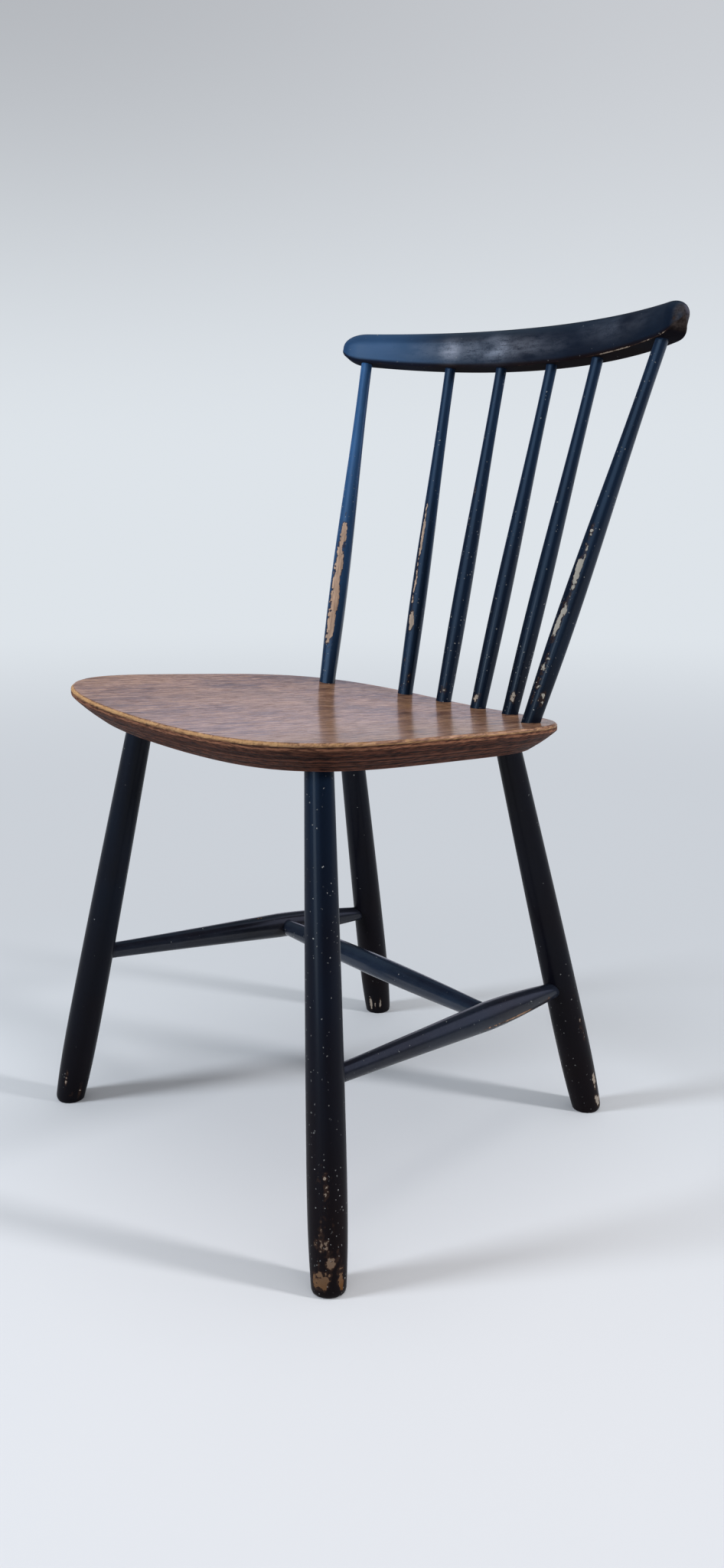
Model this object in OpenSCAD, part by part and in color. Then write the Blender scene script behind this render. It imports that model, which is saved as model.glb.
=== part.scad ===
// Spindle-back side chair: a dished, bevelled plywood seat on four splayed
// turned legs with an H-shaped set of stretchers, and six turned spindles
// that carry a curved crest rail.
// The floor is z = 0, the chair faces -Y, and x = 0 is its plane of symmetry.
// Left and right are as seen from the front, so right is +X.

/* [Seat] */
// Width of the board across its widest part, before the taper
seat_w = 402; // [380:1:440]
// Depth of the board from front to rear
seat_d = 390; // [370:1:410]
// Height of the upper face at the middle of the front edge
seat_h = 443; // [420:1:470]
// Thickness of the board
seat_thick = 25; // [23:0.5:32]
// Drop of the seat towards the rear, in degrees
seat_tilt = 4.9; // [2:0.1:7]
// Rise of the side edges over the middle line
seat_dish = 12; // [0:0.5:16]
// How much the half width grows at the front edge and shrinks at the rear
seat_taper = 13.5; // [0:0.5:18]
// Fullness of the front corners, where 2 is an ellipse and more is squarer
front_fullness = 4.4; // [3.6:0.1:6]
// Fullness of the rear corners
rear_fullness = 3.1; // [2.8:0.1:4]
// Radius of the upper edge
seat_round = 3; // [1:0.5:5]
// Height of the upright edge, round included
seat_edge = 7; // [6:0.5:9]
// How far the bevel under the edge runs inwards
seat_bevel = 22; // [16:1:24]
// Bulge of the bevel over a straight cut
bevel_bulge = 1.2; // [0:0.1:2]
// Distance from the middle of the feet forward to the middle of the board
seat_forward = 19.5; // [10:0.5:30]

/* [Legs] */
// Diameter of a leg at the seat
leg_top_d = 24.5; // [22:0.5:27]
// Diameter at the belly of a leg
leg_belly_d = 33.6; // [30:0.2:38]
// Diameter of a leg at the floor
leg_foot_d = 29; // [26:0.5:32]
// Distance from the floor to the belly, along the leg
leg_belly_h = 95; // [70:1:120]
// Rounding of the foot
foot_round = 6; // [2:0.5:7]
// Distance from the middle to a front foot, sideways
front_foot_x = 214; // [195:1:235]
// Distance from the middle to a rear foot, sideways
rear_foot_x = 163; // [150:1:185]
// Distance between the front feet and the rear feet
foot_depth = 398; // [370:1:420]
// Distance from the side of the board in to a front leg
front_leg_inset = 67; // [58:1:78]
// Distance from the front edge of the board back to the front legs
front_leg_setback = 74.5; // [66:0.5:90]
// Distance from the side of the board in to a rear leg
rear_leg_inset = 84; // [80:1:95]
// Distance from the rear edge of the board forward to the rear legs
rear_leg_setback = 67.5; // [65:0.5:85]
// Depth of a leg's socket in the seat
leg_socket_depth = 14; // [10:0.5:16]

/* [Stretchers] */
// Height of a side stretcher at the front leg
side_front_h = 168; // [140:1:200]
// Height of a side stretcher at the rear leg
side_rear_h = 139; // [120:1:180]
// Diameter of a side stretcher where it enters a leg
side_end_d = 16; // [14:0.2:18]
// Greatest diameter of a side stretcher
side_belly_d = 27; // [24:0.2:30]
// Place of that belly and of the cross stretcher, as a share from the front
cross_place = 0.65; // [0.5:0.01:0.72]
// Diameter of the cross stretcher where it enters the side stretchers
cross_end_d = 17.4; // [15:0.2:18]
// Diameter of the cross stretcher in the middle
cross_belly_d = 22.8; // [20:0.2:26]
// How far a stretcher stops short of the axis of the bar that it enters
stretcher_stop = 3; // [2:0.5:5]

/* [Spindles] */
// Distance from the middle to an inner spindle, at the seat
inner_base_x = 25; // [22:0.5:30]
// Distance from the middle to a middle spindle, at the seat
middle_base_x = 76; // [68:0.5:84]
// Distance from the side of the board in to an outer spindle, at the seat
outer_base_inset = 54; // [47:0.5:59]
// Distance from the rear edge of the board to the row of spindles
row_inset = 11.5; // [11:0.5:20]
// How far the row sweeps forward to the outer spindles
row_sweep = 59; // [54:0.5:70]
// Distance from the middle to an inner spindle, at the rail
inner_top_x = 34; // [28:0.5:40]
// Distance from the middle to a middle spindle, at the rail
middle_top_x = 99; // [90:0.5:110]
// Distance along the rail's curve from a tip in to an outer spindle
outer_top_inset = 31.6; // [28:0.2:45]
// Diameter of the outer spindles at the seat
outer_base_d = 17.4; // [15:0.2:19]
// Greatest diameter of the outer spindles
outer_belly_d = 19.9; // [18:0.1:22]
// Diameter of the outer spindles at the rail
outer_top_d = 12; // [10:0.2:13]
// Diameter of the four other spindles at the seat
inner_base_d = 16.2; // [14:0.2:17]
// Greatest diameter of the four other spindles
inner_belly_d = 17.6; // [16:0.1:20]
// Diameter of the four other spindles at the rail
inner_top_d = 11.2; // [10:0.2:12]
// Place of a spindle's belly, as a share of its length from the seat
spindle_belly = 0.25; // [0.15:0.01:0.4]
// Depth of a spindle's socket in the seat
base_socket = 9; // [6:0.5:10]
// Depth of a spindle's socket in the rail
top_socket = 18; // [12:0.5:22]

/* [Crest rail] */
// Radius of the rail's curve, at the middle of its thickness
rail_radius = 440; // [400:1:500]
// Distance along the curve from the middle to a tip
rail_reach = 236; // [230:1:250]
// Height of the rail's underside in the middle
rail_h = 750; // [700:1:790]
// Distance from the middle of the feet back to the rail's underside
rail_back = 253; // [235:1:275]
// Backward lean of the rail, in degrees
rail_lean = 12.7; // [8:0.1:18]
// Thickness of the rail
rail_thick = 21.5; // [19:0.5:25]
// Height of the rail in the middle
rail_mid_height = 41; // [38:0.5:48]
// Height of the rail near its tips
rail_tip_height = 31; // [28:0.5:38]
// Rise of the underside from the middle to the tips
rail_rise = 1.5; // [0:0.5:4]
// Height of the rounding along the rail's top
rail_crown = 14; // [8:0.5:16]
// Length of the rounded tip
rail_tip = 28; // [18:0.5:32]
// How far the spindles stand in front of the middle of its thickness
spindle_forward = 2.5; // [0:0.5:3]

/* [Fit] */
// Gap around a bar in its socket, filled with glue
glue_gap = 0.1; // [0.05:0.05:0.2]

/* [Hidden] */
$fn = 64;

lacquer = [0.07, 0.09, 0.14];
teak = [0.48, 0.31, 0.21];

// Steps along a turned bar, up to a leg's belly and over the edge of its foot
bar_steps = 24;
belly_steps = 8;
foot_steps = 6;
// Steps around the board, over its upper edge and down its bevel
board_steps = 96;
round_steps = 3;
bevel_steps = 4;
// Steps along the rail and over its rounded top
rail_steps = 44;
crown_steps = 12;

// Sizes of the inner rings of the board's two faces, as shares of its outline
top_shares = [0.3, 0.6, 0.85];
under_shares = [0.7, 0.35];
// Share of the foot's rounding that the floor cuts off
foot_cut = 0.6;
// Powers that shape a leg under its belly, a side stretcher up to its belly
// and the sweep of the row of spindles
foot_power = 3;
swell_power = 1.15;
sweep_power = 3;
// Fullness of a rail tip seen from the front and seen from above
tip_fullness = 2.2;
tip_plan_fullness = 2;
// Width of the rail's flat underside as a share of its thickness, and height
// of the small chamfers beside it
flat_share = 0.9;
chamfer_h = 2;

// Places that follow from the board and the rail
front_leg_x = seat_w / 2 - front_leg_inset;
rear_leg_x = seat_w / 2 - rear_leg_inset;
outer_base_x = seat_w / 2 - outer_base_inset;

// The chair is set back or forward so that its outermost points lie as far
// in front of the origin as behind it
seat_front = -seat_forward - seat_d / 2;
rail_rear = rail_back + (rail_mid_height - rail_crown) * sin(rail_lean)
    + sqrt(pow(cos(rail_lean) * rail_thick / 2, 2) + pow(sin(rail_lean) * rail_crown, 2));
centring = -(seat_front + rail_rear) / 2;

function unit(v) = v / norm(v);
function mirrored(p) = [-p.x, p.y, p.z];
// Point at distance s from a on the way to b
function toward(a, b, s) = a + s * unit(b - a);

// Pieces of a pair are made on the left, where x is negative, and mirrored
module on_right() {
    mirror([1, 0, 0]) children();
}

// --- board ---

// Height of the upper face
function seat_top(x, y) =
    seat_h - tan(seat_tilt) * (y - seat_front) + seat_dish * pow(2 * x / seat_w, 2);

// One point of the outline: a superellipse that tapers to the rear
function outline_power(c, fullness) = sign(c) * pow(abs(c), 2 / fullness);
function outline_point(a, half_w, half_d, taper) =
    let (fullness = sin(a) < 0 ? front_fullness : rear_fullness)
    let (along = outline_power(sin(a), fullness))
    let (across = outline_power(cos(a), fullness))
    [(half_w - taper * along) * across, half_d * along - seat_forward];

// A ring of the board: share of the outline, inset from it, depth below the top
function board_ring(share, inset, drop) = [
    for (i = [0 : board_steps - 1])
        let (p = outline_point(360 * i / board_steps, share * (seat_w / 2 - inset),
                               share * (seat_d / 2 - inset), share * seat_taper))
        [p.x, p.y, seat_top(p.x, p.y) - drop]
];

function bevel_inset(t) = seat_bevel * t - bevel_bulge * sin(180 * t);

board_rings = concat(
    [for (share = top_shares) board_ring(share, seat_round, 0)],
    [for (i = [0 : round_steps])
        let (a = 90 * i / round_steps)
        board_ring(1, seat_round * (1 - sin(a)), seat_round * (1 - cos(a)))],
    [for (i = [0 : bevel_steps])
        let (t = i / bevel_steps)
        board_ring(1, bevel_inset(t), seat_edge + (seat_thick - seat_edge) * t)],
    [for (share = under_shares) board_ring(share, seat_bevel, seat_thick)]
);

// Closed surface through rings of equal length, with a point at each end
module skin(rings, first, last) {
    n = len(rings[0]);
    m = len(rings);
    points = concat([first], [for (ring = rings) for (p = ring) p], [last]);
    start = [for (i = [0 : n - 1]) [0, 1 + i, 1 + (i + 1) % n]];
    walls = [
        for (j = [0 : m - 2])
            for (i = [0 : n - 1])
                let (a = 1 + j * n + i)
                let (b = 1 + j * n + (i + 1) % n)
                each [[a, a + n, b], [b, a + n, b + n]]
    ];
    end = [for (i = [0 : n - 1])
        [m * n + 1, 1 + (m - 1) * n + (i + 1) % n, 1 + (m - 1) * n + i]];
    polyhedron(points, concat(start, walls, end));
}

module board() {
    middle = [0, -seat_forward, seat_top(0, -seat_forward)];
    skin(board_rings, middle, middle - [0, 0, seat_thick]);
}

// --- turned bars ---

// Places children with their +Z on the way from a to b
module along(a, b) {
    d = b - a;
    translate(a)
        rotate([0, acos(d.z / norm(d)), atan2(d.y, d.x)])
            children();
}

// Straight round hole or stub from a towards b
module rod(a, b, d) {
    along(a, b) cylinder(d = d, h = norm(b - a));
}

// Solid of revolution from [radius, height] points
module turned(profile) {
    low = profile[0].y;
    high = profile[len(profile) - 1].y;
    rotate_extrude() polygon(concat([[0, low]], profile, [[0, high]]));
}

// --- legs ---

function foot(front) =
    front ? [-front_foot_x, -foot_depth / 2, 0] : [-rear_foot_x, foot_depth / 2, 0];

// Where a leg's axis meets the underside of the board
function leg_top(front) =
    let (x = front ? -front_leg_x : -rear_leg_x)
    let (y = front ? seat_front + front_leg_setback : seat_front + seat_d - rear_leg_setback)
    [x, y, seat_top(x, y) - seat_thick];

function leg_end(front) =
    toward(leg_top(front), foot(front), -leg_socket_depth);

// A point of the leg's axis at height h
function leg_at(front, h) =
    foot(front) + (leg_top(front) - foot(front)) * h / leg_top(front).z;

function leg_lower(h) =
    (leg_belly_d - (leg_belly_d - leg_foot_d) * pow(1 - h / leg_belly_h, foot_power)) / 2;
function leg_upper(u) =
    (leg_top_d + (leg_belly_d - leg_top_d) * (u + sin(90 * u)) / 2) / 2;

function leg_profile(length) =
    let (below = foot_round * foot_cut)
    let (upper = length - leg_belly_h)
    concat(
        [for (i = [0 : foot_steps - 1])
            let (a = 90 * i / foot_steps)
            [leg_foot_d / 2 - foot_round * (1 - sin(a)), foot_round * (1 - cos(a)) - below]],
        [for (i = [1 : belly_steps])
            let (h = leg_belly_h * i / belly_steps)
            [leg_lower(h), h]],
        [for (i = [1 : bar_steps])
            [leg_upper(1 - i / bar_steps), leg_belly_h + upper * i / bar_steps]],
        [[leg_top_d / 2, length + leg_socket_depth]]
    );

module leg(front) {
    low = foot(front);
    high = leg_top(front);
    color(lacquer)
        difference() {
            along(low, high) turned(leg_profile(norm(high - low)));
            side_socket(front);
            translate([low.x, low.y, -leg_belly_d / 2])
                cube([2 * leg_belly_d, 2 * leg_belly_d, leg_belly_d], center = true);
        }
}

// --- stretchers ---

function side_axis(front) = leg_at(front, front ? side_front_h : side_rear_h);
function side_end(front) =
    toward(side_axis(front), side_axis(!front), stretcher_stop);
function side_at(t) = side_axis(true) + (side_axis(false) - side_axis(true)) * t;
cross_axis = side_at(cross_place);
cross_end = cross_axis + [stretcher_stop, 0, 0];

// Swells almost evenly from the front, and rounds over to the rear
function side_radius(t) =
    let (swell = t < cross_place ? pow(t / cross_place, swell_power)
                                 : sin(90 * (1 - t) / (1 - cross_place)))
    (side_end_d + (side_belly_d - side_end_d) * swell) / 2;
function cross_radius(t) =
    (cross_end_d + (cross_belly_d - cross_end_d) * sin(180 * t)) / 2;

module side_socket(front) {
    rod(side_end(front), toward(side_axis(front), side_axis(!front), leg_belly_d),
        side_end_d + 2 * glue_gap);
}

// A stretcher is straight inside its sockets, and swells between them
module side_stretcher() {
    a = side_end(true);
    b = side_end(false);
    length = norm(b - a);
    inside = leg_belly_d / 2;
    color(lacquer)
        difference() {
            along(a, b)
                turned(concat(
                    [[side_end_d / 2, 0]],
                    [for (i = [0 : bar_steps])
                        [side_radius(i / bar_steps),
                         inside + (length - 2 * inside) * i / bar_steps]],
                    [[side_end_d / 2, length]]
                ));
            rod(cross_end, cross_axis + [side_belly_d, 0, 0], cross_end_d + 2 * glue_gap);
        }
}

module cross_stretcher() {
    a = cross_end;
    b = mirrored(cross_end);
    length = norm(b - a);
    inside = side_belly_d / 2;
    color(lacquer)
        along(a, b)
            turned(concat(
                [[cross_end_d / 2, 0]],
                [for (i = [0 : bar_steps])
                    [cross_radius(i / bar_steps),
                     inside + (length - 2 * inside) * i / bar_steps]],
                [[cross_end_d / 2, length]]
            ));
}

// --- crest rail ---

// The rail bends in a plane that leans back: e_back points away from the
// sitter in that plane, and e_up stands square on it
e_back = [0, cos(rail_lean), -sin(rail_lean)];
e_up = [0, sin(rail_lean), cos(rail_lean)];

// Point of the rail at angle a of its curve, s behind its middle line, h up
function rail_point(a, s, h) =
    [(rail_radius + s) * sin(a), rail_back, rail_h]
    - (rail_radius - (rail_radius + s) * cos(a)) * [0, e_back.y, e_back.z]
    + h * e_up;

// Share of the full size at distance s from a tip that is rounded over length r
function tip_share(s, r, fullness) =
    s >= r ? 1 : pow(1 - pow(1 - s / r, fullness), 1 / fullness);

function rail_height(t) =
    rail_mid_height - (rail_mid_height - rail_tip_height) * t * t;

// Outline of the rail's section, from the front corner of the underside:
// u runs from -1 to 1 over the thickness, v from 0 to 1 over the height
function section(height) = concat(
    [[-flat_share, 0], [-1, chamfer_h / height]],
    [for (i = [0 : crown_steps])
        let (a = 180 * i / crown_steps)
        [-cos(a), 1 - rail_crown / height * (1 - sin(a))]],
    [[1, chamfer_h / height], [flat_share, 0]],
    [[flat_share / 2, 0], [0, 0], [-flat_share / 2, 0]]
);

// The stations crowd together towards the tips
function station(i) = sin(90 * (2 * i / rail_steps - 1));

function rail_ring(t) =
    let (s = rail_reach * (1 - abs(t)))
    let (height = rail_height(t))
    let (tall = tip_share(s, rail_tip, tip_fullness))
    let (thick = tip_share(s, rail_thick, tip_plan_fullness))
    let (a = rail_reach * t / rail_radius * 180 / PI)
    [for (p = section(height))
        rail_point(a, p.x * thick * rail_thick / 2,
                   rail_rise * t * t + height / 2 + (p.y - 0.5) * height * tall)];

module crest_rail() {
    tip_angle = rail_reach / rail_radius * 180 / PI;
    tip_middle = rail_rise + rail_tip_height / 2;
    color(lacquer)
        difference() {
            skin([for (i = [1 : rail_steps - 1]) rail_ring(station(i))],
                 rail_point(-tip_angle, 0, tip_middle),
                 rail_point(tip_angle, 0, tip_middle));
            for (kind = [0 : 2]) {
                rail_socket(kind);
                on_right() rail_socket(kind);
            }
        }
}

module rail_socket(kind) {
    rod(spindle_end(kind), spindle_seat_point(kind), spindle_top_d(kind) + 2 * glue_gap);
}

// --- spindles ---

// kind is 0 for an inner spindle, 1 for a middle one and 2 for an outer one
function base_x(kind) = [inner_base_x, middle_base_x, outer_base_x][kind];
function spindle_base_d(kind) = kind == 2 ? outer_base_d : inner_base_d;
function spindle_belly_d(kind) = kind == 2 ? outer_belly_d : inner_belly_d;
function spindle_top_d(kind) = kind == 2 ? outer_top_d : inner_top_d;

// Where a spindle's axis meets the upper face of the board
function spindle_seat_point(kind) =
    let (x = base_x(kind))
    let (y = seat_d / 2 - seat_forward - row_inset
             - row_sweep * pow(x / outer_base_x, sweep_power))
    [-x, y, seat_top(x, y)];

// Angle around the rail's curve at which a spindle meets it
function top_angle(kind) =
    kind == 2 ? (rail_reach - outer_top_inset) / rail_radius * 180 / PI
              : asin([inner_top_x, middle_top_x][kind] / (rail_radius - spindle_forward));

// Where a spindle's axis meets the underside of the rail
function spindle_rail_point(kind) = rail_point(-top_angle(kind), -spindle_forward, 0);

// The two ends of a spindle, at the bottoms of its sockets
function spindle_start(kind) =
    toward(spindle_seat_point(kind), spindle_rail_point(kind), -base_socket);
function spindle_end(kind) =
    toward(spindle_rail_point(kind), spindle_seat_point(kind), -top_socket);

// Rises on a sine to the belly, and eases down on a cosine to the rail
function spindle_radius(kind, t) =
    let (belly = spindle_belly_d(kind))
    (t < spindle_belly
        ? spindle_base_d(kind) + (belly - spindle_base_d(kind)) * sin(90 * t / spindle_belly)
        : belly - (belly - spindle_top_d(kind))
              * (1 - cos(180 * (t - spindle_belly) / (1 - spindle_belly))) / 2) / 2;

module spindle(kind) {
    a = spindle_start(kind);
    b = spindle_end(kind);
    length = norm(b - a);
    first = 2 * base_socket;
    last = length - 2 * top_socket;
    color(lacquer)
        along(a, b)
            turned(concat(
                [[spindle_base_d(kind) / 2, 0]],
                [for (i = [0 : bar_steps])
                    [spindle_radius(kind, i / bar_steps),
                     first + (last - first) * i / bar_steps]],
                [[spindle_top_d(kind) / 2, length]]
            ));
}

// --- seat ---

module leg_socket(front) {
    rod(leg_end(front), toward(leg_top(front), foot(front), seat_thick),
        leg_top_d + 2 * glue_gap);
}

module spindle_socket(kind) {
    rod(spindle_start(kind), spindle_rail_point(kind),
        spindle_base_d(kind) + 2 * glue_gap);
}

module half_of_sockets() {
    leg_socket(true);
    leg_socket(false);
    for (kind = [0 : 2]) spindle_socket(kind);
}

module seat() {
    color(teak)
        difference() {
            board();
            half_of_sockets();
            on_right() half_of_sockets();
        }
}

module placed() {
    translate([0, centring, 0]) children();
}

placed() seat();
placed() leg(true);  // front_leg_left
placed() on_right() leg(true);  // front_leg_right
placed() leg(false);  // rear_leg_left
placed() on_right() leg(false);  // rear_leg_right
placed() side_stretcher();  // side_stretcher_left
placed() on_right() side_stretcher();  // side_stretcher_right
placed() cross_stretcher();
placed() spindle(2);  // spindle_outer_left
placed() spindle(1);  // spindle_middle_left
placed() spindle(0);  // spindle_inner_left
placed() on_right() spindle(0);  // spindle_inner_right
placed() on_right() spindle(1);  // spindle_middle_right
placed() on_right() spindle(2);  // spindle_outer_right
placed() crest_rail();
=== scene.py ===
import math

import bpy
import numpy as np
from mathutils import Matrix, Vector


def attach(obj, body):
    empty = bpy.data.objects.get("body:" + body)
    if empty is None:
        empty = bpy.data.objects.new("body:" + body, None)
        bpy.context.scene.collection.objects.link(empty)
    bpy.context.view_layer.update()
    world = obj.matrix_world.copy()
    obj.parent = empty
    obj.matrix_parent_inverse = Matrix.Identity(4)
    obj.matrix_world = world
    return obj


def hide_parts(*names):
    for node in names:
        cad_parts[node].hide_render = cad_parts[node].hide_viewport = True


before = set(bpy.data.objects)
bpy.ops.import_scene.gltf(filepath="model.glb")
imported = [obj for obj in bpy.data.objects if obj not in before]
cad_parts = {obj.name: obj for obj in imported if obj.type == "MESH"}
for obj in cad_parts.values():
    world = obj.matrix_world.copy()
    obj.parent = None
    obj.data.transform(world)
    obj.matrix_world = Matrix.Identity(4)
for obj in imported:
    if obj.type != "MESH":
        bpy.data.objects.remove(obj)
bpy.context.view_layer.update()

# Spindle-back side chair: teak veneer seat, worn navy lacquer on everything else.
# Metres; +Z is up, the chair faces -Y and right is +X. Angles are in degrees.


def eased(value, low, high):
    # Share s of the way from low to high, eased as 3s^2 - 2s^3
    s = np.clip((value - low) / (high - low), 0, 1)
    return s * s * (3 - 2 * s)


def between(ends, share):
    # From the first of two values to the second as share goes from 0 to 1
    return ends[0] + (ends[1] - ends[0]) * share


def bell(a, b=0):
    # 1 where both distances are 0, falling as e^-(a^2 + b^2)
    return np.exp(-a ** 2 - b ** 2)


def turnFrom(middle, direction):
    # Angle from middle to direction, between -180 and 180
    return (direction - middle + 180) % 360 - 180


def unit(v):
    return v / np.linalg.norm(v)


def towards(a, b, distance):
    return a + unit(b - a) * distance


noiseTable = dict(size=4096, mixers=(73856093, 19349663, 83492791))  # size: a power of two


def latticeNoise(points, size, seed):
    # Each corner of a cubic lattice holds a random number from -1 to 1, and a
    # point blends the eight corners around it with eased weights
    table = np.random.default_rng(seed).uniform(-1, 1, noiseTable["size"])
    cell = points / size
    base = np.floor(cell).astype(np.int64)
    part = eased(cell - base, 0, 1)
    total = np.zeros(points.shape[:-1])
    for corner in np.ndindex(2, 2, 2):
        corner = np.array(corner)
        mixed = (base + corner) * np.array(noiseTable["mixers"])
        index = np.bitwise_xor.reduce(mixed, axis=-1) & (noiseTable["size"] - 1)
        total += table[index] * np.prod(np.where(corner, part, 1 - part), axis=-1)
    return total


def layeredNoise(points, size, seed, layers=3):
    # Sum of lattice noises, each at half the size and half the strength of the last
    return sum(latticeNoise(points, size / 2 ** n, seed + n) / 2 ** n
               for n in range(layers)) / (2 - 0.5 ** (layers - 1))


def ringFaces(rings, around):
    # Corners of the faces between rings, then each station and the one after it
    here = np.arange(around)
    after = (here + 1) % around
    start = np.arange(rings - 1)[:, None] * around
    walls = np.stack([start + here, start + after,
                      start + around + after, start + around + here], -1)
    return walls.reshape(-1, 4), here, after


def buildPiece(name, points, poles, fields, material, flipped=False):
    # points[i, j] is ring i at station j round it; each ring closes on itself,
    # and a fan of triangles closes the first and the last ring to its pole.
    # Flipped takes the stations in reverse, so that the faces point outwards.
    rings, around = points.shape[:2]
    order = slice(None, None, -1 if flipped else 1)
    corners = np.concatenate([points[:, order].reshape(-1, 3), np.array(poles)]) + centring
    walls, here, after = ringFaces(rings, around)
    first = np.full(around, rings * around)
    last = first + 1
    offset = (rings - 1) * around
    fans = np.concatenate([np.stack([first, after, here], -1),
                           np.stack([last, offset + here, offset + after], -1)])
    mesh = bpy.data.meshes.new(name)
    mesh.vertices.add(len(corners))
    mesh.vertices.foreach_set("co", corners.astype(np.float32).ravel())
    loops = np.concatenate([walls.ravel(), fans.ravel()])
    mesh.loops.add(len(loops))
    mesh.loops.foreach_set("vertex_index", loops.astype(np.int32))
    starts = np.concatenate([np.arange(len(walls)) * 4,
                             len(walls) * 4 + np.arange(len(fans)) * 3])
    mesh.polygons.add(len(starts))
    mesh.polygons.foreach_set("loop_start", starts.astype(np.int32))
    mesh.update(calc_edges=True)
    mesh.validate()
    mesh.polygons.foreach_set("use_smooth", np.ones(len(mesh.polygons), bool))
    for field, values in fields.items():
        # a value that doesn't vary is spread over the grid; a pole takes its ring's mean
        grid = np.broadcast_to(values, (rings, around) + np.shape(values)[2:])[:, order]
        vector = grid.ndim == 3
        flat = grid.reshape(-1, 3) if vector else grid.reshape(-1)
        ends = np.stack([flat[:around].mean(0), flat[-around:].mean(0)])
        flat = np.concatenate([flat, ends])
        layer = mesh.attributes.new(field, "FLOAT_VECTOR" if vector else "FLOAT", "POINT")
        layer.data.foreach_set("vector" if vector else "value",
                               flat.astype(np.float32).ravel())
    mesh.materials.append(material)
    piece = bpy.data.objects.new("visual_" + name, mesh)
    bpy.context.scene.collection.objects.link(piece)
    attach(piece, "root")
    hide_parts(name)
    return piece


class Signal:
    # One output of a node: arithmetic on it adds Math nodes to its tree
    def __init__(self, finish, socket):
        self.finish = finish
        self.socket = socket

    def math(self, operation, first, second):
        return self.finish.node("ShaderNodeMath", {"operation": operation},
                                {0: first, 1: second})

    def __add__(self, other):
        return self.math("ADD", self, other)

    def __sub__(self, other):
        return self.math("SUBTRACT", self, other)

    def __rsub__(self, other):
        return self.math("SUBTRACT", other, self)

    def __mul__(self, other):
        return self.math("MULTIPLY", self, other)

    __radd__ = __add__
    __rmul__ = __mul__


class Finish:
    # The node tree of a material or of the world, under construction
    def __init__(self, owner):
        owner.use_nodes = True
        self.owner = owner
        self.tree = owner.node_tree
        self.tree.nodes.clear()

    def node(self, kind, settings, inputs, output=0):
        made = self.tree.nodes.new(kind)
        for key, value in settings.items():
            if key == "stops":
                ramp = made.color_ramp.elements
                while len(ramp) < len(value):
                    ramp.new(0.5)
                for stop, (place, colour) in zip(ramp, value):
                    stop.position = place
                    stop.color = (*colour, 1)
            else:
                setattr(made, key, value)
        for key, value in inputs.items():
            if isinstance(value, Signal):
                self.tree.links.new(value.socket, made.inputs[key])
            else:
                made.inputs[key].default_value = value
        return Signal(self, made.outputs[output]) if made.outputs else None

    def attribute(self, name, output="Fac"):
        return self.node("ShaderNodeAttribute", {"attribute_name": name}, {}, output)

    def stretched(self, vector, scale):
        return self.node("ShaderNodeMapping", {}, {"Vector": vector, "Scale": scale})

    def noise(self, vector, scale, detail=2.0, roughness=0.5):
        return self.node("ShaderNodeTexNoise", {},
                         {"Vector": vector, "Scale": scale, "Detail": detail,
                          "Roughness": roughness})

    def along(self, vector, way):
        # Length of a vector along a way, and so a cosine where both are one long
        return self.node("ShaderNodeVectorMath", {"operation": "DOT_PRODUCT"},
                         {0: vector, 1: way}, "Value")

    def ray(self, kind):
        return self.node("ShaderNodeLightPath", {}, {}, kind)

    def eased(self, value, low, high):
        return self.node("ShaderNodeMapRange", {"interpolation_type": "SMOOTHSTEP"},
                         {"Value": value, "From Min": low, "From Max": high})

    def mixed(self, share, first, second):
        # the Mix node's colours come in at sockets 6 and 7 and go out at 2
        first = first if isinstance(first, Signal) else (*first, 1)
        second = second if isinstance(second, Signal) else (*second, 1)
        return self.node("ShaderNodeMix", {"data_type": "RGBA"},
                         {0: share, 6: first, 7: second}, 2)

    def ramp(self, value, stops):
        return self.node("ShaderNodeValToRGB", {"stops": stops}, {"Fac": value})

    def patterns(self, place, axis, rows):
        # Noise for each row: stretch along the axis, repeats per metre, detail, roughness
        for stretch, scale, detail, roughness in rows:
            drawn = self.stretched(place, [stretch if k == axis else 1.0 for k in range(3)])
            yield self.noise(drawn, scale, detail, roughness)

    def finishWith(self, settings, colour, roughness, height, coat):
        bump = self.node("ShaderNodeBump", {}, {"Strength": 1.0, "Height": height,
                                                "Distance": settings["relief"]})
        shader = self.node("ShaderNodeBsdfPrincipled", {},
                           {"Base Color": colour, "Roughness": roughness, "Normal": bump,
                            "Coat Weight": coat, "Coat Roughness": settings["coatGloss"],
                            "Specular IOR Level": settings["specular"]})
        self.node("ShaderNodeOutputMaterial", {}, {"Surface": shader})
        return self.owner


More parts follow.
